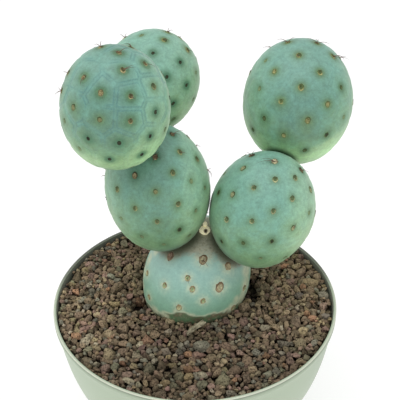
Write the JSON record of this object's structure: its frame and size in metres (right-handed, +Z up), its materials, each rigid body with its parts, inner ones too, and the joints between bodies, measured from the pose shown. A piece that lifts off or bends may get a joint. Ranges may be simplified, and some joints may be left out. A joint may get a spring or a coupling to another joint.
{
  "type": "potted tephrocactus",
  "caption": "Jointed cactus of round blue-green segments with small areoles and short spines, growing from grit in a shallow round bowl pot.",
  "frame": {"origin": "centre of the pot's flat underside", "axes": "+Z up, -Y towards the picture's viewer, +X to the viewer's right"},
  "size_m": [0.1183, 0.1151, 0.1688],
  "materials": {
    "pot_plastic": "satin, pale grey-green",
    "lava_grit": "rough, brown lava",
    "skin": "matt waxy bloom",
    "corky_skin": "matt waxy bloom with corky patches"
  },
  "bodies": {
    "root": {"pot": "pot_plastic", "grit": "lava_grit", "stem_base": "corky_skin", "stem_left": "skin", "stem_right": "skin", "stem_left_front": "skin", "stem_left_rear": "skin", "stem_right_top": "skin"}
  },
  "joints": []
}
